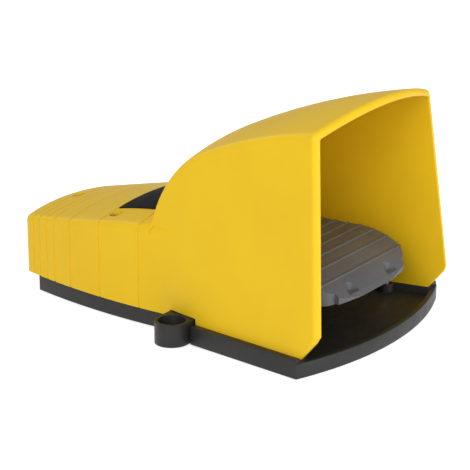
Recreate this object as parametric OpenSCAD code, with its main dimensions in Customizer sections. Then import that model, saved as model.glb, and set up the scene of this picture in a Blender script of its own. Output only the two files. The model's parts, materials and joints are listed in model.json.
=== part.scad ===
// Industrial foot switch with a guard hood.
// Y runs from the foot opening (front, -Y) to the switch housing (rear, +Y), Z is up.
// The origin is under the middle of the overall length, on the floor.

/* [Base] */
// Width of the base across its front corners
base_w = 160; // [150:1:175]
// Height of the base rim
base_h = 9.6; // [8:0.2:12]
// Height of the lips that stand outside the hood's walls
lip_h = 11; // [10.2:0.1:13]
// Height of the front rim between the lips
front_rim_h = 9; // [7:0.1:9.6]
// Depth of the curved front edge beyond the front corners
base_bow = 16; // [10:1:22]
// Thickness of the base floor
floor_t = 3.4; // [2.5:0.1:5]
// Width of the rim along the curved front edge
rim_t = 3; // [2:0.5:5]
// Length from the front corners to the rear end of the base
base_l = 209; // [200:1:215]
// Height of the fixing lugs
lug_h = 13.6; // [12:0.2:18]
// Outer radius of a fixing lug
lug_r = 10; // [9:0.5:13]
// Distance between the two lug holes across the base
lug_span = 141.6; // [138:0.2:150]
// Distance of the lug holes behind the front corners
lug_y = 88.8; // [80:0.2:94]
// Diameter of the fixing screw holes
fix_d = 7; // [5:0.1:8.5]
// Diameter of the recess for the fixing screw's head
head_d = 16; // [12:0.5:17]

/* [Hood] */
// Width of the hood across its foot, measured at the front corners
hood_w = 152.6; // [146:0.2:156]
// Inward taper of the hood sides towards the rear, degrees
taper = 8.4; // [6:0.1:9]
// Inward lean of the hood sides, degrees
lean = 5.2; // [3:0.1:6]
// Steeper taper of the hood's foot where it runs into the housing, degrees
hip_a = 14; // [10:0.5:16]
// Wall thickness of the hood
wall = 4.5; // [3:0.1:5]
// Height of the hood at the front edge, on the centre line
hood_h = 140.8; // [125:0.2:150]
// Slope of the roof at the front edge, degrees
roof_a = 10.5; // [6:0.5:14]
// Slope of the roof where it starts to fall, degrees
brow_a = 25.3; // [20:0.1:30]
// Distance of that place behind the front corners
brow_y = 80; // [72:1:84]
// Radius of the falling roof
fall_r = 73; // [60:1:76]
// Radius of the crown across the roof and housing
crown_r = 260; // [200:5:400]
// Backward lean of the front edge, degrees
front_a = 6.6; // [3:0.1:9]
// Forward bow of the front edge across its width
front_bow = 8; // [4:0.5:12]
// Height of the sloping cut at the lower front corners
chamfer_h = 14.5; // [10:0.5:20]

/* [Switch housing] */
// Half width of the housing where its sides are widest
house_hw = 56.3; // [55:0.1:59]
// Distance of the widest place behind the front corners
house_y = 105; // [100:1:110]
// Radius of the barrel-shaped sides
side_r = 418; // [360:2:520]
// Height of the housing on the centre line, at its front
house_h = 66.9; // [64:0.1:72]
// Slope of the rear part of the housing's top, degrees
tail_a = 11.5; // [8:0.5:12]
// Distance from the front corners where that slope starts
tail_y = 154; // [152:1:158]
// Distance from the front corners to the rear face
house_l = 224; // [218:1:230]
// Radius of the bulging rear face
rear_r = 282; // [200:2:400]
// Wall thickness of the housing
house_wall = 3.2; // [2.5:0.1:4]
// Width of the trim grooves over the housing
groove_w = 1.1; // [0.8:0.1:1.6]
// Depth of the trim grooves
groove_t = 0.5; // [0.3:0.1:0.8]
// Width of the label plate on the housing
label_w = 70; // [50:1:74]
// Length of the label plate
label_l = 32; // [20:1:33]
// Distance from the hood's foot to the label
label_gap = 1.4; // [0.5:0.1:4]
// Thickness of the label plate
label_t = 0.5; // [0.3:0.1:1]
// Glue film under the label
label_fit = 0.05; // [0.02:0.01:0.2]
// Diameter of the cable entry
entry_d = 20.4; // [16.2:0.1:20.6]
// Distance of the cable entry from the centre plane
entry_x = 20; // [18:0.5:22]
// Height of the cable entry's centre
entry_z = 27; // [24:0.5:28]

/* [Pedal] */
// Width of the pedal
pedal_w = 94; // [80:1:98]
// Height of the pedal's flat top
pedal_z = 49; // [46:0.5:52]
// Distance of the pedal's front corners behind the base's front corners
pedal_y = 2; // [0:0.5:8]
// Forward bow of the pedal's nose
nose_bow = 6.5; // [3:0.5:9]
// Radius of the pedal's rolled-over front
nose_r = 50; // [42:1:54]
// Height of the nose's lower edge
nose_z = 30.5; // [28:0.5:34]
// Length of the nose's curve from its front edge
nose_run = 33; // [28:1:38]
// Radius of the two screw recesses in the nose
scoop_r = 5.2; // [4:0.1:6]
// Their distance from the centre line
scoop_x = 21.5; // [16:0.5:28]
// Height of their floor
scoop_z = 33.2; // [32:0.1:36]
// Skin thickness of the pedal
skin = 3.4; // [2.6:0.1:4]
// Radius of the pedal's front corners
pedal_corner = 10; // [6:0.5:14]
// Number of tread ribs
ribs = 8; // [5:1:9]
// Distance between tread ribs
rib_pitch = 8.8; // [7.5:0.1:9]
// Radius of a tread rib
rib_r = 0.9; // [0.6:0.1:1.2]
// Pressing angle of the pedal, degrees
press_a = 7.5; // [4:0.5:8]

/* [Axle and actuator] */
// Diameter of the pedal's axle
axle_d = 6; // [5:0.5:8]
// Distance of the axle behind the front corners
axle_y = 112; // [108:1:114]
// Height of the axle
axle_z = 42; // [40:0.5:43]
// Outer radius of the pedal's hubs
hub_r = 6.5; // [5.5:0.1:7]
// Distance from the centre line to the outside of a hub
hub_x = 33; // [30:1:36]
// Length of a hub
hub_l = 12; // [8:1:16]
// Thickness of a bearing post
post_t = 7; // [5:0.5:9]
// Radius of the bearing posts' rounded heads
post_r = 9; // [7:0.5:10]
// Length of the actuator's arm, axle to roller
arm_l = 26; // [24:0.5:28]
// Diameter of the roller
roller_d = 9; // [8:0.5:10]
// Length of the roller
roller_l = 26; // [22:1:28]
// Diameter of the roller's pin
pin_d = 3; // [2.5:0.1:4]
// Running clearance of pins in their bores, on the radius
run_fit = 0.06; // [0.03:0.01:0.1]
// Gap that moving pieces keep from their neighbours
gap = 0.3; // [0.25:0.05:0.5]

/* [Contact blocks] */
// Width of a contact block
block_w = 17; // [15:0.5:18]
// Length of a contact block
block_l = 40; // [34:1:44]
// Height of a contact block
block_h = 26; // [22:1:30]
// Distance between the middles of the two blocks
block_pitch = 20; // [19:0.5:22]
// Diameter of a plunger
plunger_d = 6; // [5:0.5:7]
// Length of a plunger that stands out of its block
plunger_out = 6; // [5.5:0.5:8]
// Diameter of a terminal screw's head
term_d = 5.4; // [4.5:0.1:6]
// Thickness of the carrier plate under the blocks
carrier_t = 1.5; // [1:0.1:2.5]

/* [Springs and stops] */
// Distance of the return spring behind the front corners
spring_y = 78; // [70:1:84]
// Outer diameter of the return spring
spring_d = 17; // [14:0.5:20]
// Wire diameter of the return spring
wire_d = 1.8; // [1.4:0.1:2.2]
// Turns of the return spring
turns = 7; // [5:1:9]
// Distance of the stop buffers behind the front corners
stop_y = 58; // [50:1:62]
// Distance between the two stop buffers
stop_span = 50; // [40:1:60]
// Diameter of a stop buffer
stop_d = 14; // [12:0.5:18]

/* [Screws and feet] */
// Diameter of the cover's screws
cover_screw_d = 4; // [3:0.5:5]
// Diameter of a foot pad
pad_d = 14; // [10:0.5:16]
// Thickness of a foot pad
pad_t = 2; // [1.5:0.1:2.4]
// Height that the foot pads stand out of the base
pad_out = 0.4; // [0.2:0.1:1]

/* [Hidden] */
$fn = 48;

mid_y = (house_l - base_bow) / 2;          // middle of the overall length
front_r = (pow(base_w / 2, 2) + pow(base_bow, 2)) / (2 * base_bow);
inner_w = hood_w - 2 * wall;               // foot space across its foot
head_z = 5;                                // seat of a fixing screw's head
boss_d = 10;                               // bosses for the screws
tray_hw = house_hw - house_wall - 8;       // half width of the tray under the housing
floor_z = 1.6 + floor_t;       // top of the base floor
slope = tan(taper);                        // taper of the sides, per length
rear_y = 100;                              // where the hood runs into the housing

// Roof curve on the centre line: a long front arc, then the falling arc.
roof_r = round(10 * brow_y / (sin(brow_a) - sin(roof_a))) / 10;
roof_cy = -roof_r * sin(roof_a);
roof_cz = hood_h - roof_r * cos(roof_a);
fall_cy = roof_cy + (roof_r - fall_r) * sin(brow_a);
fall_cz = roof_cz + (roof_r - fall_r) * cos(brow_a);

// Top of the housing on the centre line: a flat arc, then a straight slope.
top_r = round(10 * (tail_y - house_y) / sin(tail_a)) / 10;
tail_z = house_h - top_r * (1 - cos(tail_a));
groove_ys = [213.5, 207.5, 200.5, 193.5, 179, 154, 123];

hood_foot = fall_cy + sqrt(pow(fall_r, 2) - pow(house_h - fall_cz, 2));
label_y = hood_foot + label_gap;

screw_spots = [[0, 211], [-43, 148.5], [43, 148.5]];
pad_spots = [for (x = [-1, 1], p = [[52, 12], [34, 192]]) [x * p[0], p[1]]];
foot_spots = [for (x = [-1, 1], y = [26, 62]) [x * (inner_w / 2 - 4.5 - y * slope), y]];
block_y = axle_y + roller_d / 2 + gap + plunger_out;
plunger_z = axle_z - arm_l;
// rear end of the pedal, which swings towards the bearing posts as it is pressed
pedal_end = axle_y - post_r - (axle_z - nose_z) * sin(press_a) - 2 * gap;
scoop_y = pedal_y - 3;                     // middle of the screw recesses in the nose
bearing_spots = [for (y = [-5.5, 5.5]) [hub_x + gap - 4, axle_y + y]];
carrier_spots = [for (y = [9, block_l - 9]) [(block_pitch + block_w) / 2 + 5, block_y + y]];
entry_in = house_l - 6;                    // inner face of the cable entry's pad

// ---- helpers -------------------------------------------------------------

// Moves a piece from the front-corner datum to the part's own frame.
module place() translate([0, -mid_y, 0]) children();

// Child and its mirror image across the centre plane.
module both() { children(); mirror([1, 0, 0]) children(); }

// Extrudes a (y, z) outline across the full width.
module across(w = 200) rotate([90, 0, 90]) linear_extrude(w, center = true) children();

// Height of the housing's top surface at x, y.
function top_z(x, y) =
    (y < house_y ? house_h
     : y < tail_y ? house_h - top_r + sqrt(pow(top_r, 2) - pow(y - house_y, 2))
     : tail_z - (y - tail_y) * tan(tail_a))
    - crown_r + sqrt(pow(crown_r, 2) - x * x);

// Section of a crowned solid whose top lies r from the axis, depth deep.
module crowned_section(r, depth, inset) {
    intersection() {
        translate([r - crown_r, 0]) circle(crown_r - inset, $fn = 180);
        translate([r - depth, -95]) square([depth + 5, 190]);
    }
}

// Top surface from two arcs, or from an arc and a straight run where r2 is 0, that share the plane
// at angle a off vertical: the first arc is about the X line through (cy, cz).
module crowned_pair(cy, cz, r1, before, r2, past, inset, depth) {
    translate([0, cy, cz]) rotate([0, -90, 0]) rotate([0, 0, before[0]]) {
        mirror([0, 1, 0]) rotate_extrude(angle = before[0] - before[1], $fn = 96)
            crowned_section(r1, min(depth, r1), inset);
        if (r2 > 0)
            translate([r1 - r2, 0, 0]) rotate_extrude(angle = past, $fn = 96) crowned_section(r2, r2, inset);
        else
            translate([0, past, 0]) rotate([90, 0, 0]) linear_extrude(past) crowned_section(r1, depth, inset);
    }
}

// ---- cover ---------------------------------------------------------------

// Space between the two leaning, tapering sides of the hood.
module hood_sides(inset) {
    intersection_for (s = [0, 1]) mirror([s, 0, 0])
        translate([hood_w / 2, 0, 0]) rotate([0, -lean, taper])
            translate([-300 - inset, -200, -100]) cube([300, 500, 400]);
}

// Steeper vertical planes that bring the hood's foot down to the housing's width.
module hip_sides(inset) {
    intersection_for (s = [0, 1]) mirror([s, 0, 0])
        translate([house_hw + 0.4, house_y - 1, 0]) rotate([0, 0, hip_a])
            translate([-300 - inset, -300, -100]) cube([300, 500, 400]);
}

// Everything under the roof curve.
module under_roof(inset) {
    crowned_pair(roof_cy, roof_cz, roof_r, [brow_a, 3], fall_r, 95 - brow_a, inset, roof_r);
    translate([-95, 0, -20]) cube([190, fall_cy + fall_r - 12 - inset, 25 + fall_cz]);
}

// Outline of the hood seen from the side, up to the leaning front edge's lower chamfer.
module hood_side_cut() {
    translate([0, 0, base_h]) across()
        polygon([[-60, -30], [1, -30], [1, 0], [1 - chamfer_h * 0.85, chamfer_h], [-60, chamfer_h]]);
}

// Front edge of the hood: bowed across its width and leaning back.
module behind_front(inset) {
    half = hood_w / 2 - hood_h * tan(lean);
    bow_r = (half * half + front_bow * front_bow) / (2 * front_bow);
    translate([0, -front_bow, hood_h - front_bow]) rotate([-front_a, 0, 0])
        translate([0, bow_r, -260]) cylinder(r = bow_r, h = 400, $fn = 200);
}

module hood_body(inset = 0) {
    intersection() {
        under_roof(inset);
        intersection() { hood_sides(inset); hip_sides(inset); }
        translate([-95, -60, base_h - (inset > 0 ? 5 : 0)]) cube([190, 190, 200]);
    }
}

module house_body(inset = 0) {
    intersection() {
        crowned_pair(house_y, house_h - top_r, top_r, [tail_a, -12], 0, 90, inset, 80);
        both_sides(inset);
        translate([0, house_l - rear_r, -10]) cylinder(r = rear_r - inset, h = 200, $fn = 200);
        translate([-95, rear_y - 2, base_h - (inset > 0 ? 5 : 0)]) cube([190, 140, 100]);
    }
}

// Space between the two barrel-shaped sides of the housing.
module both_sides(inset) {
    intersection_for (s = [-1, 1])
        translate([s * (house_hw - side_r), house_y, -10])
            cylinder(r = side_r - inset, h = 120, $fn = 240);
}

module cover() {
    color("gold") place() difference() {
        union() {
            difference() {
                intersection() { hood_body(); behind_front(0); }
                hood_side_cut();
            }
            house_body();
        }
        difference() {
            union() { hood_body(wall); house_body(house_wall); }
            // screw posts from the housing top to the base
            for (p = screw_spots) translate([p[0], p[1], 0]) cylinder(d = 11, h = 80);
            for (p = foot_spots) translate([p[0], p[1], 0]) cylinder(d = boss_d, h = floor_z + 14);
            // flat pad round the cable entry
            translate([entry_x, entry_in, entry_z]) rotate([-90, 0, 0]) cylinder(d = entry_d + 6, h = 8);
        }
        // blind holes for the screws from below
        for (p = foot_spots) translate([p[0], p[1], 0]) cylinder(d = cover_screw_d + 0.1, h = floor_z + 9);
        // grooves round the housing
        difference() {
            for (y = groove_ys) translate([-95, y - groove_w / 2, base_h - 1]) cube([190, groove_w, 100]);
            house_body(groove_t);
        }
        // clearance over the lugs
        both() translate([hood_w / 2 - 34, lug_y - lug_r - 1, 0]) cube([60, 2 * lug_r + 2, lug_h + 0.4]);
        // countersunk screw recesses and bores
        for (p = screw_spots) {
            translate([p[0], p[1], 0]) cylinder(d = cover_screw_d + 0.4, h = 90);
            translate([p[0], p[1], top_z(p[0], p[1]) - 4]) {
                cylinder(d = 8, h = 20);
                if (p[0] != 0)
                    translate([-sign(p[0]) * 2, 0, 0]) {
                        cylinder(d = 8, h = 20);
                        translate([min(0, sign(p[0]) * 2), -4, 0]) cube([2, 8, 20]);
                    }
            }
        }
        // cable entry
        translate([entry_x, house_l - 16, entry_z]) rotate([-90, 0, 0]) cylinder(d = entry_d, h = 30);
    }
}

// Thin plate that follows the crowned top of the housing.
module label() {
    a0 = asin((label_y - house_y) / top_r);
    a1 = asin((label_y + label_l - house_y) / top_r);
    color("black") place() translate([0, house_y, house_h - top_r]) rotate([0, -90, 0]) rotate([0, 0, a0])
        rotate_extrude(angle = a1 - a0, $fn = 96) translate([top_r - crown_r, 0]) intersection() {
            difference() {
                circle(crown_r + label_fit + label_t, $fn = 180);
                circle(crown_r + label_fit, $fn = 180);
            }
            translate([crown_r / 2, -label_w / 2]) square([crown_r, label_w]);
        }
}

// ---- base ----------------------------------------------------------------

// Plan of the base: bowed front, tapering sides, barrel-shaped rear.
module base_plan(inset = 0) {
    intersection() {
        translate([-base_w, -base_bow]) square([2 * base_w, lug_y - lug_r - 1 + base_bow]);
        translate([0, front_r - base_bow]) circle(front_r - inset, $fn = 240);
        intersection_for (s = [0, 1]) mirror([s, 0])
            translate([base_w / 2 - inset, 0]) rotate(taper) translate([-300, -100]) square([300, 300]);
    }
    intersection() {
        translate([-base_w, lug_y - lug_r - 2]) square([2 * base_w, base_l - lug_y + lug_r + 2 - inset]);
        intersection_for (s = [-1, 1]) translate([s * (house_hw - side_r), house_y])
            circle(side_r - inset, $fn = 240);
    }
}

module base() {
    color("dimgray") place() difference() {
        union() {
            difference() {
                union() {
                    translate([0, 0, pad_out]) linear_extrude(base_h - pad_out) base_plan();
                    both() lug();
                    side_lips();
                }
                translate([0, 0, floor_z]) linear_extrude(lug_h) tray_plan();
            }
            // bosses under the cover's posts and feet
            for (p = concat(screw_spots, foot_spots))
                translate([p[0], p[1], pad_out]) cylinder(d = boss_d, h = base_h - pad_out);
        }
        // front rim, a little lower than the rest
        translate([-base_w, -base_bow - 1, front_rim_h]) cube([2 * base_w, base_bow + 1.3, lug_h]);
        // pilot holes for the screws of the bearings and the carrier
        both() for (p = concat(bearing_spots, carrier_spots))
            translate([p[0], p[1], floor_z - 2.8]) cylinder(d = 3.1, h = 5);
        // open underside
        for (x = [-1, 1], y = [12, 60, 120, 165])
            translate([x * 22 - 19, y, 0]) cube([38, 36, 1.6]);
        // threaded holes for the cover's screws
        for (p = screw_spots) translate([p[0], p[1], 2.5]) cylinder(d = cover_screw_d + 0.1, h = base_h);
        // countersunk holes for the screws into the hood's feet
        for (p = foot_spots) translate([p[0], p[1], -1]) {
            cylinder(d = cover_screw_d + 0.4, h = 20);
            cylinder(d = 8.4, h = 3.4);
        }
        // pockets of the foot pads
        for (p = pad_spots) translate([p[0], p[1], 0]) cylinder(d = pad_d + 0.4, h = pad_t);
        // fixing holes in the lugs
        both() translate([lug_span / 2, lug_y, 0]) {
            translate([0, 0, -1]) cylinder(d = fix_d, h = lug_h + 2);
            translate([0, 0, head_z]) cylinder(d = head_d, h = lug_h);
        }
    }
}

// Lips along the sides, outside the hood's walls.
module side_lips() {
    intersection() {
        translate([0, 0, base_h - 1]) linear_extrude(lip_h - base_h + 1) base_plan();
        difference() {
            translate([-base_w, 0, 0]) cube([2 * base_w, lug_y, 2 * lip_h]);
            hood_sides(-gap);
        }
    }
}

// Fixing lug on the right-hand side.
module lug() {
    translate([lug_span / 2, lug_y, pad_out]) cylinder(r = lug_r, h = lug_h - pad_out);
    translate([house_hw - 8, lug_y - lug_r, pad_out])
        cube([lug_span / 2 - house_hw + 8, 2 * lug_r, lug_h - pad_out]);
}

// Plan of the tray inside the cover's walls.
module tray_plan() {
    intersection() {
        base_plan(rim_t);
        union() {
            intersection_for (s = [0, 1]) mirror([s, 0]) translate([inner_w / 2 - 1.5, 0])
                rotate(taper) translate([-300, -100]) square([300, 100 + rear_y]);
            translate([-tray_hw, rear_y - 10]) square([2 * tray_hw, 80]);
        }
    }
}

// ---- pedal ---------------------------------------------------------------

// Side outline of the pedal, shrunk by inset.
module pedal_side(inset = 0) {
    intersection() {
        union() {
            translate([pedal_y + nose_run, pedal_z - nose_r]) circle(nose_r - inset, $fn = 120);
            translate([pedal_y + nose_run, 0]) square([pedal_end - pedal_y - nose_run, pedal_z - inset]);
        }
        translate([-20, nose_z]) square([140, 60]);
    }
}

// Plan of the pedal: bowed nose and rounded front corners.
module pedal_plan(inset = 0) {
    half = pedal_w / 2;
    bow = (half * half + nose_bow * nose_bow) / (2 * nose_bow);
    intersection() {
        translate([0, pedal_y - nose_bow + bow]) circle(bow - inset, $fn = 200);
        union() {
            translate([-half + inset, pedal_y + pedal_corner]) square([pedal_w - 2 * inset, 110]);
            translate([-half + pedal_corner, -20]) square([pedal_w - 2 * pedal_corner, 60]);
            for (s = [-1, 1]) translate([s * (half - pedal_corner), pedal_y + pedal_corner])
                circle(pedal_corner - inset);
        }
    }
}

module pedal() {
    tail = pedal_end;
    color("slategray") place() difference() {
        union() {
            difference() {
                intersection() {
                    across() pedal_side();
                    linear_extrude(80) pedal_plan();
                }
                difference() {
                    intersection() {
                        across() {
                            pedal_side(skin);
                            translate([0, -1]) pedal_side(skin);
                        }
                        linear_extrude(80) pedal_plan(skin);
                        translate([-60, -20, 0]) cube([120, tail - skin + 20, 80]);
                    }
                    // bosses round the screw recesses
                    both() translate([scoop_x, scoop_y, 0]) cylinder(r = scoop_r + 2.2, h = pedal_z);
                }
            }
            // tread ribs
            for (i = [0 : ribs - 1]) tread_rib(8 + i * rib_pitch);
            // arms and hubs on the axle
            both() {
                translate([hub_x - hub_l, tail - 6, axle_z - hub_r])
                    cube([hub_l, axle_y - tail + 4, hub_r + pedal_z - axle_z - skin + 1]);
                translate([hub_x - hub_l, axle_y, axle_z]) rotate([0, 90, 0]) cylinder(r = hub_r, h = hub_l);
            }
            // socket for the return spring
            translate([0, spring_y, pedal_z - 9]) cylinder(d = 8, h = 9 - skin / 2);
        }
        translate([-60, axle_y, axle_z]) rotate([0, 90, 0]) cylinder(d = axle_d + 2 * run_fit, h = 120);
        both() translate([scoop_x, scoop_y, scoop_z]) cylinder(r = scoop_r, h = pedal_z);
    }
}

// One rib across the pedal, following its rolled-over front.
module tread_rib(y) {
    y0 = pedal_y + nose_run;
    z = y > y0 ? pedal_z : pedal_z - nose_r + sqrt(pow(nose_r, 2) - pow(y0 - y, 2));
    translate([0, y, z - 0.15]) rotate([0, 90, 0]) cylinder(r = rib_r, h = pedal_w - 1, center = true, $fn = 24);
}

module axle() {
    half = hub_x + gap + post_t + 3;
    color("silver") place() translate([0, axle_y, axle_z]) rotate([0, 90, 0]) difference() {
        cylinder(d = axle_d, h = 2 * half, center = true);
        both_ends(half - 2) difference() {
            cylinder(d = axle_d + 2, h = 1.1, center = true);
            cylinder(d = axle_d - 1.2, h = 3, center = true);
        }
    }
}

module both_ends(z) for (s = [-1, 1]) translate([0, 0, s * z]) children();

module axle_clips() {
    half = hub_x + gap + post_t + 3;
    color("gray") place() translate([0, axle_y, axle_z]) rotate([0, 90, 0])
        both_ends(half - 2) difference() {
            cylinder(d = axle_d + 5, h = 1, center = true);
            cylinder(d = axle_d - 1.1, h = 3, center = true);
            translate([0, -axle_d * 0.36, -2]) cube([10, axle_d * 0.72, 4]);
        }
}

// Bearing post with its foot, on the right-hand side.
module bearing() {
    color("lightgray") place() translate([hub_x + gap, axle_y, 0]) difference() {
        union() {
            translate([0, -post_r, floor_z]) cube([post_t, 2 * post_r, axle_z - floor_z]);
            translate([0, 0, axle_z]) rotate([0, 90, 0]) cylinder(r = post_r, h = post_t);
            translate([-8, -post_r, floor_z]) cube([post_t + 8, 2 * post_r, 3]);
        }
        translate([-1, 0, axle_z]) rotate([0, 90, 0]) cylinder(d = axle_d + 0.04, h = post_t + 2);
        for (y = [-5.5, 5.5]) translate([-4, y, floor_z - 1]) cylinder(d = 3.04, h = 6);
    }
}
module bearing_right() bearing();
module bearing_left() mirror([1, 0, 0]) bearing();

// Pan-head screw with its head at z = 0 and its shank below.
module pan_screw(d, l) {
    difference() {
        union() {
            translate([0, 0, -l]) cylinder(d = d, h = l);
            cylinder(d = 2 * d, h = 0.6 * d);
        }
        translate([0, 0, 0.3 * d]) cylinder(d = d, h = d, $fn = 6);
    }
}

module bearing_screws() {
    color("silver") place() both() for (p = bearing_spots)
        translate([p[0], p[1], floor_z + 3]) pan_screw(3, 5.6);
}

// ---- actuator ------------------------------------------------------------

module actuator() {
    w = roller_l + 5;
    color("silver") place() difference() {
        union() {
            translate([0, axle_y, axle_z]) rotate([0, 90, 0]) cylinder(r = hub_r - 1, h = 2 * (hub_x - hub_l - gap), center = true);
            for (s = [-1, 1]) translate([s * (w / 2 - 1.1) - 1, axle_y - 4, axle_z - arm_l - 4]) cube([2, 8, arm_l + 4]);
        }
        translate([-60, axle_y, axle_z]) rotate([0, 90, 0]) cylinder(d = axle_d + 2 * run_fit, h = 120);
        translate([-60, axle_y, axle_z - arm_l]) rotate([0, 90, 0]) cylinder(d = pin_d + 0.02, h = 120);
    }
}

module roller() {
    color("white") place() translate([0, axle_y, axle_z - arm_l]) rotate([0, 90, 0]) difference() {
        cylinder(d = roller_d, h = roller_l, center = true);
        cylinder(d = pin_d + 2 * run_fit, h = roller_l + 2, center = true);
    }
}

module roller_pin() {
    color("silver") place() translate([0, axle_y, axle_z - arm_l]) rotate([0, 90, 0])
        cylinder(d = pin_d, h = roller_l + 7, center = true);
}

// ---- contact blocks ------------------------------------------------------

module block() {
    color("lightgray") place() translate([block_pitch / 2, block_y, floor_z + carrier_t]) difference() {
        translate([-block_w / 2, 0, 0]) cube([block_w, block_l, block_h]);
        // terminal steps at both sides of the raised middle
        for (y = [-1, block_l - 11]) translate([-block_w, y, block_h - 7]) cube([2 * block_w, 12, 8]);
        // plunger guide
        translate([0, -1, plunger_z - floor_z - carrier_t]) rotate([-90, 0, 0])
            cylinder(d = plunger_d + 2 * run_fit, h = 15);
        // terminal screw holes
        for (x = [-4.2, 4.2], y = [5.5, block_l - 5.5]) translate([x, y, block_h - 13])
            cylinder(d = 3.04, h = 8);
    }
}
module block_right() block();
module block_left() mirror([1, 0, 0]) block();

module plunger() {
    color("white") place() translate([block_pitch / 2, block_y - plunger_out, plunger_z])
        rotate([-90, 0, 0]) cylinder(d = plunger_d, h = plunger_out + 9);
}
module plunger_right() plunger();
module plunger_left() mirror([1, 0, 0]) plunger();

module terminals() {
    color("gold") place() translate([block_pitch / 2, block_y, floor_z + carrier_t])
        for (x = [-4.2, 4.2], y = [5.5, block_l - 5.5]) translate([x, y, block_h - 7]) {
            translate([0, 0, -5]) cylinder(d = 3, h = 5);
            difference() {
                cylinder(d = term_d, h = 3);
                translate([-4, -0.4, 2]) cube([8, 0.8, 2]);
            }
        }
}
module terminals_right() terminals();
module terminals_left() mirror([1, 0, 0]) terminals();

module carrier() {
    w = block_pitch + block_w + 18;
    color("silver") place() difference() {
        translate([-w / 2, block_y + 3, floor_z]) cube([w, block_l - 6, carrier_t]);
        both() for (p = carrier_spots) translate([p[0], p[1], floor_z - 1]) cylinder(d = 3.04, h = 5);
    }
}

module carrier_screws() {
    color("silver") place() both() for (p = carrier_spots)
        translate([p[0], p[1], floor_z + carrier_t]) pan_screw(3, carrier_t + 2.6);
}

// ---- spring and stops ----------------------------------------------------

spring_z0 = floor_z + 2;
spring_z1 = pedal_z - skin;

module pedal_spring() {
    r = (spring_d - wire_d) / 2;
    h = spring_z1 - spring_z0 - wire_d - 0.4;
    n = turns * 16;
    ring = 8;
    function at(i) = [r * cos(i * 360 / 16), r * sin(i * 360 / 16), h * i / n];
    pts = [for (i = [0 : n], k = [0 : ring - 1])
        let (a = i * 360 / 16, b = k * 360 / ring)
        at(i) + wire_d / 2 * [cos(a) * cos(b), sin(a) * cos(b), sin(b)]];
    sides = [for (i = [0 : n - 1], k = [0 : ring - 1])
        let (k2 = (k + 1) % ring) [i * ring + k, i * ring + k2, (i + 1) * ring + k2, (i + 1) * ring + k]];
    ends = [[for (k = [ring - 1 : -1 : 0]) k], [for (k = [0 : ring - 1]) n * ring + k]];
    color("silver") place() translate([0, spring_y, spring_z0 + wire_d / 2 + 0.2])
        polyhedron(concat(sides, ends) == [] ? [] : pts, concat(sides, ends));
}

module spring_seat() {
    color("dimgray") place() translate([0, spring_y, floor_z]) difference() {
        union() {
            cylinder(d = spring_d + 5, h = 2);
            cylinder(d = spring_d - 2 * wire_d - 1, h = 8);
        }
        translate([0, 0, -1]) cylinder(d = 4, h = 12);
    }
}

// The buffers end just under the pedal's skin when the pedal is pressed.
module stop_buffers() {
    top = pedal_z - skin - (axle_y - stop_y) * sin(press_a) - 1.2;
    color("black") place() both() translate([stop_span / 2, stop_y, floor_z]) {
        cylinder(d = stop_d, h = top - floor_z - 6);
        translate([0, 0, top - floor_z - 6]) cylinder(d1 = stop_d, d2 = stop_d - 4, h = 6);
    }
}

// ---- screws and feet -----------------------------------------------------

module cover_screws() {
    color("silver") place() for (p = screw_spots) {
        top = top_z(p[0], p[1]) - 4;
        translate([p[0], p[1], top]) difference() {
            union() {
                cylinder(d = 7, h = 2.4);
                translate([0, 0, 3 - top]) cylinder(d = cover_screw_d, h = top - 3);
            }
            translate([0, 0, 1]) cylinder(d = 3.4, h = 3, $fn = 6);
        }
    }
}

module base_screws() {
    color("silver") place() for (p = foot_spots) translate([p[0], p[1], 0]) difference() {
        union() {
            translate([0, 0, 0.4]) cylinder(d = 7.6, h = 2);
            translate([0, 0, 0.4]) cylinder(d = cover_screw_d, h = floor_z + 8);
        }
        translate([0, 0, -1]) cylinder(d = 3.4, h = 2.6, $fn = 6);
    }
}

module foot_pads() {
    color("black") place() for (p = pad_spots) translate([p[0], p[1], 0]) cylinder(d = pad_d, h = pad_t);
}

base();
cover();
label();
pedal();
axle();
axle_clips();
bearing_left();
bearing_right();
bearing_screws();
actuator();
roller();
roller_pin();
block_left();
block_right();
plunger_left();
plunger_right();
terminals_left();
terminals_right();
carrier();
carrier_screws();
pedal_spring();
spring_seat();
stop_buffers();
cover_screws();
base_screws();
foot_pads();
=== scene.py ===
"""Looks of an industrial foot switch: a yellow hooded cover on a dark base, with a ribbed pedal."""
import json
import math

import bmesh
import bpy
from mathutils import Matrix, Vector


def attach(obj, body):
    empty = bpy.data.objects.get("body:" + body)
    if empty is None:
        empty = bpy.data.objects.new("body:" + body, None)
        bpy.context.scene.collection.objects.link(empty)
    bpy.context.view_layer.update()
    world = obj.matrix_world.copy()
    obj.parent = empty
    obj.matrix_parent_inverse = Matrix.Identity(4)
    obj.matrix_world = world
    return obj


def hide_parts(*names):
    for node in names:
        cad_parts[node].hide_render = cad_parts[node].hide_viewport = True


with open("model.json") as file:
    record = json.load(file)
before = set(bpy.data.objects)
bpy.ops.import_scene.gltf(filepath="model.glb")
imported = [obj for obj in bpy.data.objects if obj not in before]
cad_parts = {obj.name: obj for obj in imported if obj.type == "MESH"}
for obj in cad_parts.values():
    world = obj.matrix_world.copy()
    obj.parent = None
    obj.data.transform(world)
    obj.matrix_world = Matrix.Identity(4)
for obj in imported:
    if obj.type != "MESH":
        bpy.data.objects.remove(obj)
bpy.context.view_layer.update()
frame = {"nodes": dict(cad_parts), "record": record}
nodes = frame["nodes"]
MM = 0.001


# ---- shared surface effects ---------------------------------------------------

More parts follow.
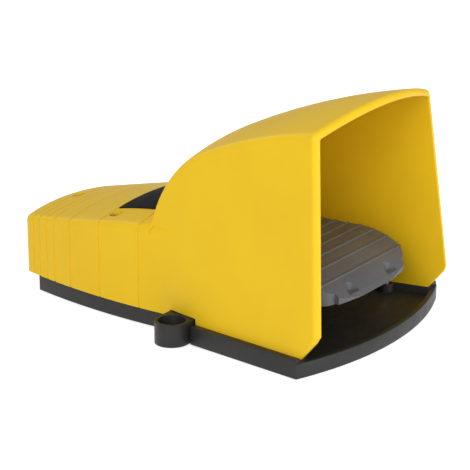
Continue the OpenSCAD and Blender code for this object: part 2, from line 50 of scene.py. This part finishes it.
def new_group(name, inputs, outputs):
    """An empty shader group with float inputs {name: default} and the named outputs."""
    group = bpy.data.node_groups.new(name, "ShaderNodeTree")
    for key, value in inputs.items():
        kind = "NodeSocketColor" if isinstance(value, tuple) else "NodeSocketFloat"
        group.interface.new_socket(key, in_out="INPUT", socket_type=kind).default_value = value
    for key, kind in outputs.items():
        group.interface.new_socket(key, in_out="OUTPUT", socket_type=kind)
    return group, group.nodes.new("NodeGroupInput"), group.nodes.new("NodeGroupOutput")


def noise(tree, vector, scale, detail=2.0):
    """A noise texture node on a vector, with its scale per metre."""
    texture = tree.nodes.new("ShaderNodeTexNoise")
    texture.inputs["Scale"].default_value = scale
    texture.inputs["Detail"].default_value = detail
    tree.links.new(vector, texture.inputs["Vector"])
    return texture.outputs["Fac"]


def spread(tree, value, low, high):
    """Maps 0.3..0.7 of a value to low..high."""
    ranged = tree.nodes.new("ShaderNodeMapRange")
    for key, number in zip(("From Min", "From Max", "To Min", "To Max"), (0.3, 0.7, low, high)):
        ranged.inputs[key].default_value = number
    tree.links.new(value, ranged.inputs["Value"])
    return ranged.outputs["Result"]


def moulded_group():
    """Spark-eroded grain, slight flow marks and uneven gloss of a moulded plastic."""
    group, gin, gout = new_group(
        "moulded_grain",
        {"Color": (0.5, 0.5, 0.5, 1.0), "Grain": 2200.0, "Gloss": 0.4, "Relief": 0.05, "Mottle": 0.06},
        {"Color": "NodeSocketColor", "Roughness": "NodeSocketFloat", "Normal": "NodeSocketVector"})
    link = group.links.new
    place = group.nodes.new("ShaderNodeTexCoord").outputs["Object"]
    grain = group.nodes.new("ShaderNodeTexNoise")
    grain.inputs["Detail"].default_value = 3.0
    link(place, grain.inputs["Vector"])
    link(gin.outputs["Grain"], grain.inputs["Scale"])
    clouds = noise(group, place, 28.0, 3.0)
    shade = group.nodes.new("ShaderNodeHueSaturation")
    link(gin.outputs["Color"], shade.inputs["Color"])
    around = group.nodes.new("ShaderNodeMath")
    around.operation = "MULTIPLY_ADD"
    link(spread(group, clouds, -1.0, 1.0), around.inputs[0])
    link(gin.outputs["Mottle"], around.inputs[1])
    around.inputs[2].default_value = 1.0
    link(around.outputs[0], shade.inputs["Value"])
    link(shade.outputs["Color"], gout.inputs["Color"])
    rough = group.nodes.new("ShaderNodeMath")
    rough.operation = "MULTIPLY_ADD"
    link(spread(group, noise(group, place, 160.0, 4.0), -0.05, 0.05), rough.inputs[0])
    rough.inputs[1].default_value = 1.0
    link(gin.outputs["Gloss"], rough.inputs[2])
    link(rough.outputs[0], gout.inputs["Roughness"])
    bump = group.nodes.new("ShaderNodeBump")
    bump.inputs["Distance"].default_value = 0.0002
    link(gin.outputs["Relief"], bump.inputs["Strength"])
    link(grain.outputs["Fac"], bump.inputs["Height"])
    link(bump.outputs["Normal"], gout.inputs["Normal"])
    return group


def turned_group():
    """Fine turning lines and stains on a machined metal."""
    group, gin, gout = new_group(
        "machined", {"Color": (0.6, 0.6, 0.6, 1.0), "Gloss": 0.3, "Relief": 0.1},
        {"Color": "NodeSocketColor", "Roughness": "NodeSocketFloat", "Normal": "NodeSocketVector"})
    link = group.links.new
    place = group.nodes.new("ShaderNodeTexCoord").outputs["Object"]
    lines = group.nodes.new("ShaderNodeTexWave")
    lines.inputs["Scale"].default_value = 1800.0
    lines.inputs["Distortion"].default_value = 1.5
    link(place, lines.inputs["Vector"])
    shade = group.nodes.new("ShaderNodeHueSaturation")
    link(gin.outputs["Color"], shade.inputs["Color"])
    link(spread(group, noise(group, place, 220.0, 4.0), 0.85, 1.08), shade.inputs["Value"])
    link(shade.outputs["Color"], gout.inputs["Color"])
    rough = group.nodes.new("ShaderNodeMath")
    link(spread(group, noise(group, place, 500.0, 3.0), -0.08, 0.08), rough.inputs[0])
    link(gin.outputs["Gloss"], rough.inputs[1])
    link(rough.outputs[0], gout.inputs["Roughness"])
    bump = group.nodes.new("ShaderNodeBump")
    bump.inputs["Distance"].default_value = 0.0001
    link(gin.outputs["Relief"], bump.inputs["Strength"])
    link(lines.outputs["Fac"], bump.inputs["Height"])
    link(bump.outputs["Normal"], gout.inputs["Normal"])
    return group


MOULDED = moulded_group()
TURNED = turned_group()


def finish(name, group, color, metallic=0.0, specular=0.5, **values):
    """A material whose colour, roughness and normal come from a shared group."""
    material = bpy.data.materials.new(name)
    material.use_nodes = True
    tree = material.node_tree
    shader = tree.nodes["Principled BSDF"]
    shader.inputs["Metallic"].default_value = metallic
    shader.inputs["Specular IOR Level"].default_value = specular
    effect = tree.nodes.new("ShaderNodeGroup")
    effect.node_tree = group
    effect.inputs["Color"].default_value = (*color, 1.0)
    for key, value in values.items():
        effect.inputs[key].default_value = value
    for source, target in (("Color", "Base Color"), ("Roughness", "Roughness"), ("Normal", "Normal")):
        tree.links.new(effect.outputs[source], shader.inputs[target])
    return material


yellow = finish("yellow_moulding", MOULDED, (0.86, 0.55, 0.011), Gloss=0.45, Relief=0.12, Mottle=0.025, specular=0.22)
black = finish("dark_moulding", MOULDED, (0.017, 0.017, 0.018), Gloss=0.48, Relief=0.3, Mottle=0.12, specular=0.35)
grey = finish("pedal_moulding", MOULDED, (0.088, 0.090, 0.098), Gloss=0.42, Relief=0.25, Mottle=0.1)
label_film = finish("label_film", MOULDED, (0.006, 0.005, 0.006), Gloss=0.5, Relief=0.04, Mottle=0.1, specular=0.06)
white = finish("white_nylon", MOULDED, (0.72, 0.71, 0.68), Gloss=0.4, Relief=0.1, Mottle=0.04)
light = finish("light_nylon", MOULDED, (0.42, 0.42, 0.40), Gloss=0.45, Relief=0.15, Mottle=0.05)
rubber = finish("black_rubber", MOULDED, (0.014, 0.014, 0.014), Gloss=0.75, Relief=0.4, Mottle=0.15)
steel = finish("zinc_steel", TURNED, (0.56, 0.57, 0.58), metallic=1.0, Gloss=0.32, Relief=0.15)
brass = finish("brass", TURNED, (0.72, 0.52, 0.22), metallic=1.0, Gloss=0.28, Relief=0.15)
FINISHES = {
    "yellow_plastic": yellow, "black_plastic": black, "grey_plastic": grey, "label_black": label_film,
    "white_plastic": white, "light_plastic": light, "steel": steel, "brass": brass, "rubber": rubber}


def coat(piece, material):
    """Gives a piece one material in place of whatever it has."""
    piece.data.materials.clear()
    piece.data.materials.append(material)


slot_of = {row["node"]: row["material_slot"] for row in frame["record"]["subparts"]}
for name, node in nodes.items():
    coat(node, FINISHES[slot_of[name]])


# ---- moulded pieces with rounded edges -------------------------------------------

def softened(node, name, body, width, steps=3, sharp=28.0):
    """A copy of a node with merged corners, flat faces and rounded edges, in the node's place."""
    bpy.ops.object.select_all(action="DESELECT")
    mesh = nodes[node].data.copy()
    piece = bpy.data.objects.new(name, mesh)
    bpy.context.collection.objects.link(piece)
    bpy.context.view_layer.objects.active = piece
    piece.select_set(True)
    bpy.ops.object.mode_set(mode="EDIT")
    bpy.ops.mesh.select_all(action="SELECT")
    bpy.ops.mesh.remove_doubles(threshold=0.00002)
    bpy.ops.mesh.dissolve_limited(angle_limit=math.radians(0.6))
    bpy.ops.object.mode_set(mode="OBJECT")
    bevel = piece.modifiers.new("edges", "BEVEL")
    bevel.width = width
    bevel.segments = steps
    bevel.limit_method = "ANGLE"
    bevel.angle_limit = math.radians(sharp)
    bevel.use_clamp_overlap = True
    bevel.harden_normals = False
    bpy.ops.object.modifier_apply(modifier="edges")
    bpy.ops.object.shade_smooth_by_angle(angle=math.radians(32))
    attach(piece, body)
    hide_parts(node)
    coat(piece, FINISHES[slot_of[node]])
    return piece


softened("base", "base_moulding", "housing", 0.0005)
softened("pedal", "pedal_moulding", "pedal_body", 0.0006)


# ---- cover -----------------------------------------------------------------------------

MIDDLE = 104.0                             # the frame's origin, behind the base's front corners
CROWN = 260.0                              # radius of the crowned tops across the width
ROOF = (-59.48, -180.1, 326.4)             # centre y, z and radius of the roof's front arc
FALL = (48.81, 49.0, 73.0)                 # the same for the falling arc behind it
BACK = (105.0, -178.9, 245.8)              # the same for the housing's top
TAIL_Y, TAIL_A = 154.0, math.radians(11.5)
FRONT_A = math.radians(6.6)
FRONT_BOW = 256.0                          # radius of the bowed front edge
REAR, REAR_R = 224.0, 282.0
FOOT_Z = 9.6
GROOVES = (123.0, 154.0, 179.0, 193.5, 200.5, 207.5, 213.5)
WALL = 4.5


def point(x, y, z):
    """A point given in millimetres from the base's front corners, in the part's frame."""
    return Vector((x, y - MIDDLE, z)) * MM


def blended(a, b, width, sign):
    """The smaller (sign 1) or larger (sign -1) of two distances, rounded where they meet."""
    near = max(width - abs(a - b), 0.0) / width
    return sign * (min(sign * a, sign * b) - near * near * width / 4)


def side_x(y, z, inset):
    """Half width of the cover at a height: leaning hood, steeper hips, barrel-shaped housing."""
    half = blended(76.3 - 0.14767 * y - 0.09199 * z, 56.7 - 0.24933 * (y - 104.0), 1.6, 1)
    if y > 92.0:
        body = 56.3 - 418.0 + math.sqrt(418.0 ** 2 - (y - 105.0) ** 2)
        body -= 4.0 * max(0.0, 98.0 - y)
        shoulder = 60.7 - max(0.0, y - 105.0) ** 2 / 491.0
        if y < 120.0:
            over = z - (shoulder - 3.0)
            body -= 40.0 if over > 3.0 else 3.0 - math.sqrt(9.0 - max(0.0, over) ** 2)
            half = blended(half, body, 0.8, -1)
        else:
            half = body
    return half - 1.012 * inset


def sunk(x, inset):
    """How far a crowned top lies below its middle line's arc at x."""
    return CROWN - math.sqrt((CROWN - inset) ** 2 - x * x)


def on_arc(arc, angle, x, inset):
    """(y, z) on a crowned arc, at an angle from the vertical."""
    r = arc[2] - sunk(x, inset)
    return arc[0] + r * math.sin(angle), arc[1] + r * math.cos(angle)


def back_z(y, x, inset):
    """Height of the housing's top."""
    c = sunk(x, inset)
    if y < TAIL_Y:
        r = BACK[2] - c
        return BACK[1] + math.sqrt(r * r - (y - BACK[0]) ** 2)
    z0 = BACK[1] + BACK[2] * math.cos(TAIL_A)
    run = (y - TAIL_Y + c * math.sin(TAIL_A)) / math.cos(TAIL_A)
    return z0 - run * math.sin(TAIL_A) - c * math.cos(TAIL_A)


def front_y(x, z):
    """The bowed front edge, leaning back, with its chamfer to the foot."""
    bow = FRONT_BOW - math.sqrt(FRONT_BOW ** 2 - x * x)
    leaning = -8.0 + bow / math.cos(FRONT_A) + math.tan(FRONT_A) * (z - 132.8)
    return max(leaning, 1.0 - 0.85 * (z - FOOT_Z)) if z < 30 else leaning


def rear_y(x, inset=0.0):
    """The bowed rear face."""
    return REAR - REAR_R + math.sqrt((REAR_R - inset) ** 2 - x * x)


def top_at(station, x, inset):
    """(y, z) on the top of a station at x."""
    kind, value = station[0], station[1]
    if kind == "front":
        angle = 0.15
        for _ in range(12):
            y, z = on_arc(ROOF, angle, x, inset)
            angle += (front_y(x, z) + value - y) / ROOF[2]
        if len(station) > 3:
            angle += station[3] * (math.radians(15.9) - angle)
        return on_arc(ROOF, angle, x, inset)
    if kind == "roof":
        return on_arc(ROOF, value, x, inset)
    if kind == "fall":
        return on_arc(FALL, value, x, inset)
    if kind == "foot":
        low, high = math.radians(55), math.radians(89)
        for _ in range(30):
            middle = (low + high) / 2
            y, z = on_arc(FALL, middle, x, inset)
            if z > back_z(y, x, inset):
                low = middle
            else:
                high = middle
        return on_arc(FALL, low, x, inset)
    y = rear_y(x) - value if kind == "rear" else value
    return y, back_z(y, x, inset)


def side_y(station, x, z, top_y, top_z):
    """y on the side of a station at a height."""
    kind, value, foot = station[0], station[1], station[2]
    if kind == "front":
        y = front_y(x, z) + value
        if len(station) > 3:
            y += station[3] * (30.0 + (top_y - 30.0) * 0.0 - y)
        return y
    if kind == "back":
        return value
    if kind == "rear":
        return rear_y(x) - value
    share = (z - FOOT_Z) / (top_z - FOOT_Z)
    return foot + (top_y - foot) * share


LOWER = (0.0, 0.055, 0.13, 0.21, 0.285, 0.37, 0.47, 0.58, 0.69, 0.79, 0.88, 0.95, 1.0)
UPPER = (0.12, 0.3, 0.5, 0.72, 1.0)
TOP = 14


def side_point(station, z, x0, top_y, top_z, inset):
    """A point on the side of a station."""
    x = x0
    for _ in range(4):
        y = side_y(station, x, z, top_y, top_z)
        x = side_x(y, z, inset)
    return Vector((x, y, z))


def half_section(station, inset):
    """Points from the foot of the right side to the middle of the top."""
    x = 60.0
    for _ in range(14):
        y, z = top_at(station, x, inset)
        x = side_x(y, min(z, 60.0) if station[0] in ("back", "rear") else z, inset)
    corner = Vector((x, y, z))
    reach = max(1.0, 3.0 - 0.6 * inset)
    below = side_point(station, z - reach, x, y, z, inset)
    ty, tz = top_at(station, x - reach, inset)
    beside = Vector((x - reach, ty, tz))
    foot_y = side_point(station, FOOT_Z, x, y, z, inset).y
    foot_z = 14.0 if 77.9 < foot_y < 99.7 else FOOT_Z
    shelf = min(60.9, below.z - 3.0)
    points = [side_point(station, foot_z + (shelf - foot_z) * f, x, y, z, inset) for f in LOWER]
    points += [side_point(station, shelf + (below.z - shelf) * f, x, y, z, inset) for f in UPPER]
    for t in (0.2, 0.4, 0.6, 0.8):
        points.append(below * (1 - t) ** 2 + corner * (2 * t * (1 - t)) + beside * t * t)
    for k in range(TOP + 1):
        xk = (x - reach) * (1 - k / TOP)
        yk, zk = top_at(station, xk, inset)
        points.append(Vector((xk, yk, zk)))
    return points


def cover_stations():
    """(station, groove depth) from the rear to the front of the outer surface."""
    rows = [(("rear", 2.5 * (1 - math.sin(a)), 0), 2.5 * (1 - math.cos(a)))
            for a in (math.pi / 2, 1.2, 0.85, 0.45, 0.0)]
    spots = [(y, 0.0) for y in (215.2, 210.5, 204.0, 197.0, 189.5, 184.0, 174.0, 167.0, 160.0, 147.0, 140.0,
                                133.0, 127.5)]
    for y in GROOVES:
        spots += [(y + 0.7, 0.0), (y + 0.35, 0.5), (y - 0.35, 0.5), (y - 0.7, 0.0)]
    rows += [(("back", y, 0), depth) for y, depth in sorted(spots, reverse=True)]
    rows.append((("foot", 0.0, 114.5), 0.0))
    fall = ((73.5, 112), (70, 110), (66, 107.5), (62, 105), (58, 102.5), (54, 100.0), (50, 99.5), (46, 96),
            (42, 92.5), (38, 89), (34.5, 85.5), (31, 81.5), (28, 78.1), (25.3, 77.6))
    rows += [(("fall", math.radians(a), y), 0.0) for a, y in fall]
    rows += [(("roof", math.radians(a), y), 0.0) for a, y in ((23.4, 67), (21.2, 56), (18.6, 43), (15.9, 30))]
    rows += [(("front", 3.0, 0, s), 0.0) for s in (0.72, 0.45, 0.2)]
    return rows


def cover_rows():
    """Half sections of the whole shell: outer surface, rim, then inner surface."""
    outer = cover_stations()
    rows = [half_section(station, depth) for station, depth in outer]
    for k in range(6):
        a = k * math.pi / 10
        rows.append(half_section(("front", 3.0 * (1 - math.sin(a)), 0), 3.0 * (1 - math.cos(a))))
    for k in range(4):
        a = k * math.pi / 6
        rows.append(half_section(("front", 0.8 * (1 - math.cos(a)), 0), WALL - 0.8 * (1 - math.sin(a))))
    for station, depth in reversed(outer):
        if station[0] == "rear":
            station = ("rear", WALL + 0.01 + station[1], 0)
            rows.append(half_section(station, WALL + depth))
        else:
            rows.append(half_section(station, WALL))
    return rows, len(outer)


def end_cap(mesh, last, inset):
    """Rows across the rear face between the two halves of a section."""
    grid = []
    for spot in last:
        row = []
        for k in range(13):
            x = spot.x * (1 - k / 6)
            row.append(mesh.verts.new(point(x, rear_y(x) - inset, spot.z)))
        grid.append(row)
    for low, high in zip(grid, grid[1:]):
        for k in range(12):
            mesh.faces.new((low[k], low[k + 1], high[k + 1], high[k]))
    return grid[0]


def shell_of_cover():
    """The closed shell of the cover, with rounded edges and grooves."""
    rows, count = cover_rows()
    mesh = bmesh.new()
    grid = []
    for half in rows:
        right = [mesh.verts.new(point(*p)) for p in half]
        left = [mesh.verts.new(point(-p.x, p.y, p.z)) for p in reversed(half[:-1])]
        grid.append(right + left)
    for first, second in zip(grid, grid[1:]):
        for k in range(len(first) - 1):
            mesh.faces.new((first[k], first[k + 1], second[k + 1], second[k]))
    outer_foot = end_cap(mesh, rows[0], 0.0)
    inner_foot = end_cap(mesh, rows[-1], WALL + 0.01)
    total = len(grid)
    for k in (0, -1):
        for i in range(count - 1):
            mesh.faces.new((grid[i][k], grid[i + 1][k], grid[total - 2 - i][k], grid[total - 1 - i][k]))
        mesh.faces.new([grid[i][k] for i in range(count - 1, total - count + 1)])
    for k in range(12):
        mesh.faces.new((outer_foot[k], outer_foot[k + 1], inner_foot[k + 1], inner_foot[k]))
    return mesh


def made(name, mesh, body, slot, *replaced):
    """An object from a bmesh, cleaned, with its normals outwards, riding on its body."""
    bpy.ops.object.select_all(action="DESELECT")
    data = bpy.data.meshes.new(name)
    mesh.to_mesh(data)
    mesh.free()
    piece = bpy.data.objects.new(name, data)
    bpy.context.collection.objects.link(piece)
    bpy.context.view_layer.objects.active = piece
    piece.select_set(True)
    bpy.ops.object.mode_set(mode="EDIT")
    bpy.ops.mesh.select_all(action="SELECT")
    bpy.ops.mesh.remove_doubles(threshold=0.000004)
    bpy.ops.mesh.dissolve_degenerate(threshold=0.000002)
    bpy.ops.mesh.select_all(action="SELECT")
    bpy.ops.mesh.normals_make_consistent(inside=False)
    bpy.ops.object.mode_set(mode="OBJECT")
    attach(piece, body)
    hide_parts(*replaced)
    coat(piece, FINISHES[slot])
    return piece


def drill(piece, cutters):
    """Cuts closed shapes out of a piece and removes them."""
    for cutter in cutters:
        cut = piece.modifiers.new("cut", "BOOLEAN")
        cut.operation = "DIFFERENCE"
        cut.solver = "EXACT"
        cut.object = cutter
        bpy.context.view_layer.objects.active = piece
        bpy.ops.object.modifier_apply(modifier="cut")
        bpy.data.objects.remove(cutter)


def rod(x, y, z, radius, length, axis="Z", sides=48):
    """A cylinder centred at a point, along an axis."""
    turn = {"Z": (0, 0, 0), "Y": (math.pi / 2, 0, 0), "X": (0, math.pi / 2, 0)}[axis]
    bpy.ops.object.select_all(action="DESELECT")
    bpy.ops.mesh.primitive_cylinder_add(vertices=sides, radius=radius * MM, depth=length * MM,
                                        location=point(x, y, z), rotation=turn)
    return bpy.context.object


cover = made("cover_moulding", shell_of_cover(), "housing", "yellow_plastic", "cover")
recess_depth = 4.0
drill(cover, [rod(0, 211, back_z(211, 0, 0) - recess_depth + 10, 4.0, 20),
              rod(43, 148.5, back_z(148.5, 43, 0) - recess_depth + 10, 4.0, 20),
              rod(-43, 148.5, back_z(148.5, 43, 0) - recess_depth + 10, 4.0, 20),
              rod(20, 221, 27, 10.2, 16, "Y", 64)])
bpy.ops.object.shade_smooth_by_angle(angle=math.radians(34))


# ---- studio -------------------------------------------------------------------------

def seen_ray(tree):
    """1 for a ray from the camera, a reflection or a clear piece, and 0 for one that lights."""
    path = tree.nodes.new("ShaderNodeLightPath")
    seen = path.outputs["Is Camera Ray"]
    for name in ("Is Glossy Ray", "Is Transmission Ray"):
        either = tree.nodes.new("ShaderNodeMath")
        either.operation = "MAXIMUM"
        tree.links.new(seen, either.inputs[0])
        tree.links.new(path.outputs[name], either.inputs[1])
        seen = either.outputs[0]
    return seen


def shown_white(material):
    """White where a camera or a reflection sees it, and a plain diffuse floor for shadows."""
    material.use_nodes = True
    tree = material.node_tree
    shader = tree.nodes["Principled BSDF"]
    shader.inputs["Base Color"].default_value = (0.86, 0.86, 0.86, 1.0)
    shader.inputs["Roughness"].default_value = 0.9
    shader.inputs["Emission Color"].default_value = (0.62, 0.62, 0.62, 1.0)
    tree.links.new(seen_ray(tree), shader.inputs["Emission Strength"])


bpy.ops.object.select_all(action="DESELECT")
bpy.ops.mesh.primitive_plane_add(size=6.0, location=(0, 0, -0.0002))
floor = bpy.context.object
floor.name = "studio_floor"
paper = bpy.data.materials.new("studio_paper")
shown_white(paper)
floor.data.materials.append(paper)

world = bpy.data.worlds.new("studio")
bpy.context.scene.world = world
world.use_nodes = True
wtree = world.node_tree
background = wtree.nodes["Background"]
wpath = wtree.nodes.new("ShaderNodeLightPath")
wmix = wtree.nodes.new("ShaderNodeMix")
wmix.inputs["A"].default_value = 0.42
wmix.inputs["B"].default_value = 1.0
wtree.links.new(wpath.outputs["Is Camera Ray"], wmix.inputs["Factor"])
wtree.links.new(wmix.outputs["Result"], background.inputs["Strength"])
background.inputs["Color"].default_value = (1, 1, 1, 1)


def softbox(name, place, aim, size, watts):
    """A square area lamp at a place, aimed at a point, in metres."""
    lamp = bpy.data.lights.new(name, "AREA")
    lamp.energy = watts
    lamp.size = size
    holder = bpy.data.objects.new(name, lamp)
    bpy.context.collection.objects.link(holder)
    holder.location = place
    holder.rotation_euler = (Vector(aim) - Vector(place)).to_track_quat("-Z", "Y").to_euler()


softbox("key", (-1.3, -0.5, 0.75), (0, 0, 0.06), 0.9, 11)
softbox("front", (0.1, -1.5, 0.5), (0, 0, 0.05), 0.9, 11)
softbox("back", (0.2, 1.2, 1.0), (0, 0, 0.05), 0.8, 4.5)

camera = bpy.data.objects.new("camera", bpy.data.cameras.new("camera"))
bpy.context.collection.objects.link(camera)
camera.location = (-0.849105, -0.58199, 0.367427)
camera.rotation_euler = Vector((0.791232, 0.53241, -0.300818)).to_track_quat("-Z", "Y").to_euler()
camera.data.sensor_width = 36.0
camera.data.lens = 1812.07 / 470 * 36.0
camera.data.clip_start = 0.01
bpy.context.scene.camera = camera
bpy.context.scene.view_settings.view_transform = "Standard"
